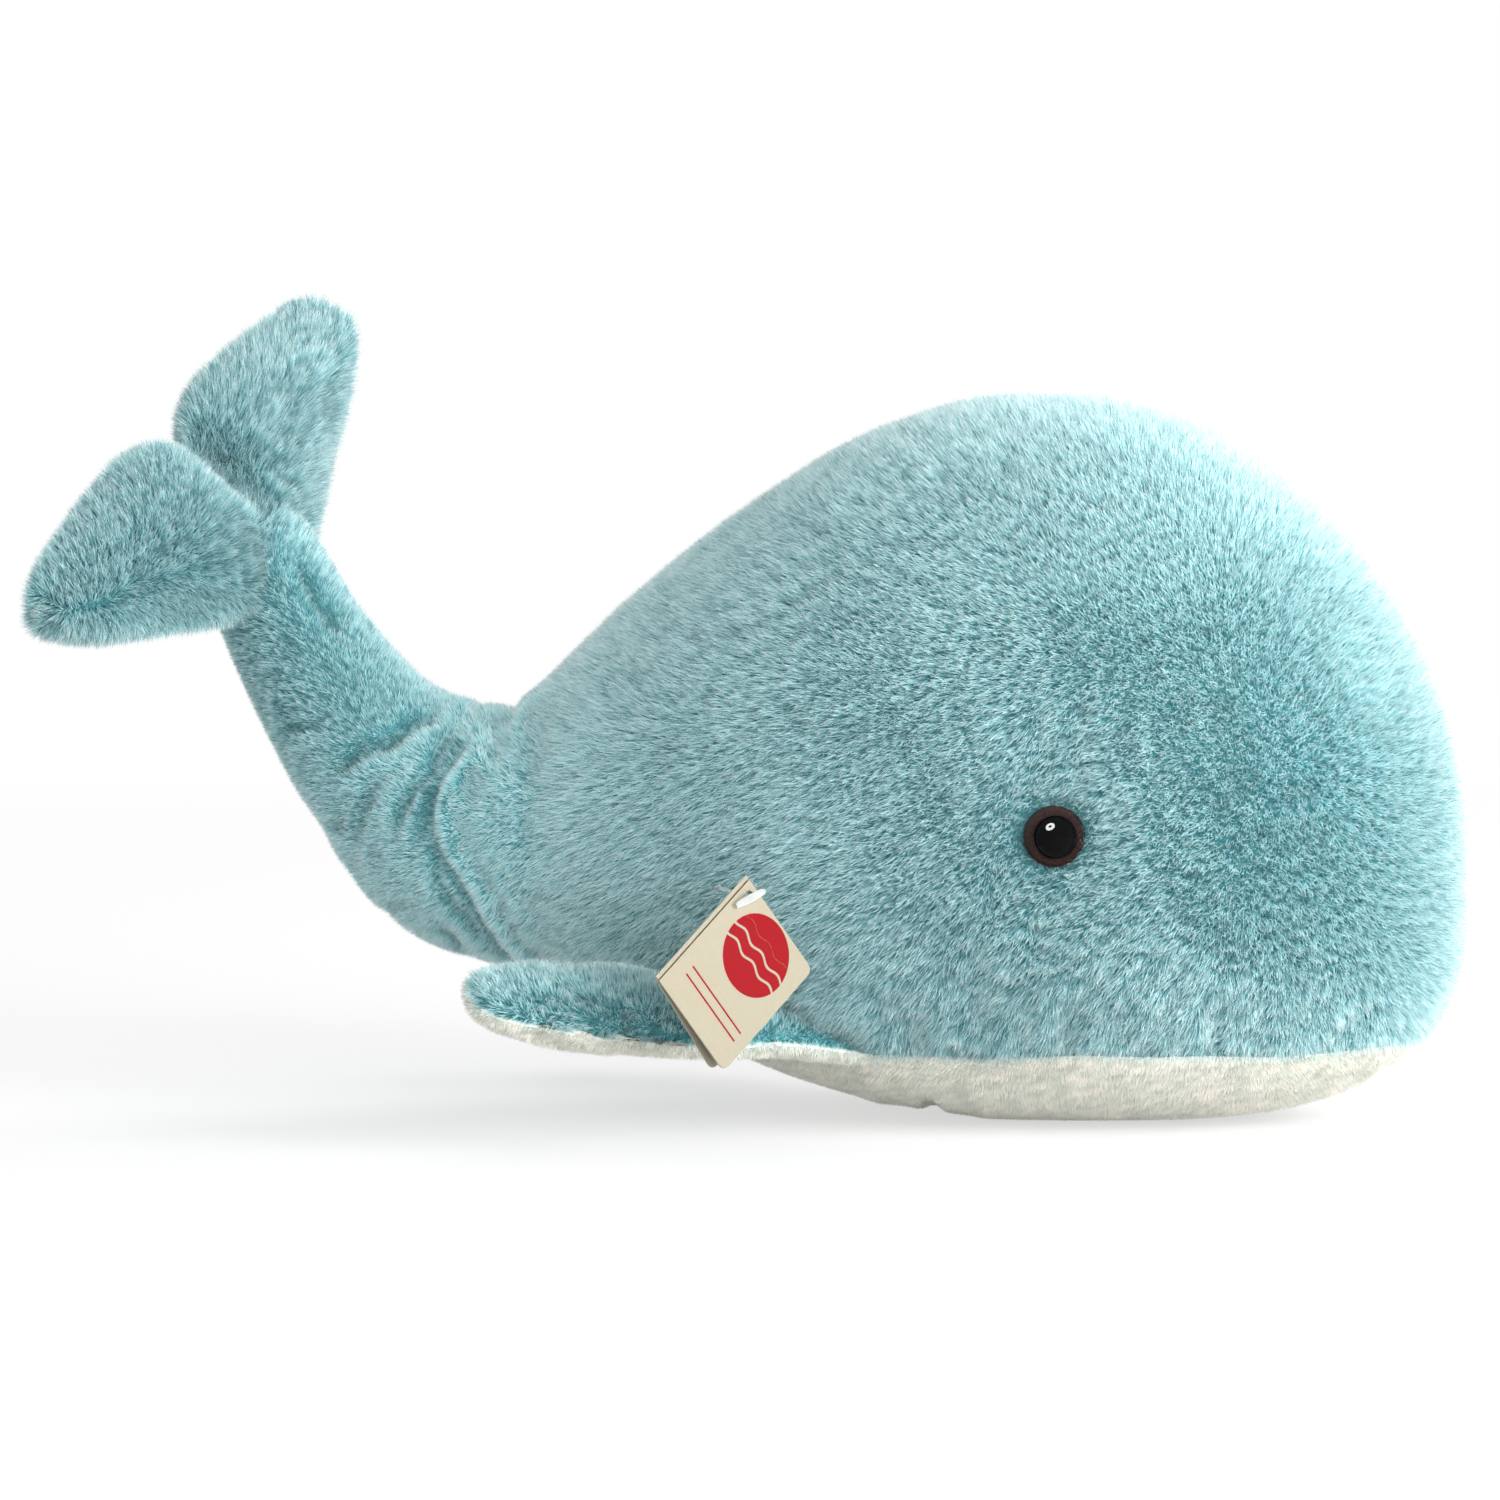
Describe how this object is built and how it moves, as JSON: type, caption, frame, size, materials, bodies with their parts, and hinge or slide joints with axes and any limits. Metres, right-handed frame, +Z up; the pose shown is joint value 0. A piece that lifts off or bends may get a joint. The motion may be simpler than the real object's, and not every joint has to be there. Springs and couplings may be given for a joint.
{
  "type": "plush whale",
  "caption": "Stuffed plush whale lying on its belly, with a raised bending tail, a turning fluke, soft side flippers, safety eyes and a folded hang card.",
  "frame": {"origin": "middle of the flat patch that the belly rests on", "axes": "+X to the snout, +Y to the whale's left, +Z up"},
  "size_m": [0.4624, 0.2714, 0.2722],
  "materials": {
    "aqua_plush": "long pile, matt",
    "white_plush": "short pile, matt",
    "filling": "loose fibre",
    "gloss_black": "polished",
    "brown_suede": "suede",
    "white_plastic": "moulded",
    "cream_card": "uncoated card",
    "clear_plastic": "clear nylon"
  },
  "bodies": {
    "whale_body": {"right_side_panel": "aqua_plush", "left_side_panel": "aqua_plush", "belly_panel": "white_plush", "body_stuffing": "filling", "right_eye": "gloss_black", "right_eye_ring": "brown_suede", "right_eye_washer": "white_plastic", "left_eye": "gloss_black", "left_eye_ring": "brown_suede", "left_eye_washer": "white_plastic", "tag_fastener": "clear_plastic"},
    "tail": {"tail_cover": "aqua_plush", "tail_stuffing": "filling"},
    "fluke": {"fluke_top": "aqua_plush", "fluke_underside": "aqua_plush", "fluke_stuffing": "filling"},
    "flipper_right": {"right_flipper_top": "aqua_plush", "right_flipper_underside": "white_plush", "right_flipper_stuffing": "filling"},
    "flipper_left": {"left_flipper_top": "aqua_plush", "left_flipper_underside": "white_plush", "left_flipper_stuffing": "filling"},
    "tag_back": {"tag_back_leaf": "cream_card"},
    "tag_front": {"tag_front_leaf": "cream_card"}
  },
  "joints": [
    {"name": "tail_lift", "type": "hinge", "parent": "whale_body", "child": "tail", "pos_m": [-0.167, 0, 0.093], "axis": [0, 1, 0], "range_deg": [-30, 12], "stiffness_Nm_per_rad": 1.5},
    {"name": "fluke_twist", "type": "hinge", "parent": "tail", "child": "fluke", "pos_m": [-0.263, 0, 0.178], "axis": [-0.515, 0, 0.8572], "range_deg": [-15, 50], "stiffness_Nm_per_rad": 0.5},
    {"name": "flipper_right_flap", "type": "hinge", "parent": "whale_body", "child": "flipper_right", "pos_m": [-0.09, -0.0743, 0.038], "axis": [-0.9138, 0.2168, 0.3435], "range_deg": [-20, 25], "stiffness_Nm_per_rad": 0.25},
    {"name": "flipper_left_flap", "type": "hinge", "parent": "whale_body", "child": "flipper_left", "pos_m": [-0.09, 0.0743, 0.038], "axis": [0.9138, 0.2168, -0.3435], "range_deg": [-20, 25], "stiffness_Nm_per_rad": 0.25},
    {"name": "tag_swing", "type": "hinge", "parent": "whale_body", "child": "tag_back", "pos_m": [-0.08948, -0.11486, 0.08294], "axis": [0.3746, -0.9272, 0], "range_deg": [-12, 18]},
    {"name": "tag_open", "type": "hinge", "parent": "tag_back", "child": "tag_front", "pos_m": [-0.08937, -0.1152, 0.0891], "axis": [-0.5236, -0.596, -0.6088], "range_deg": [-5, 10], "stiffness_Nm_per_rad": 0.002}
  ]
}
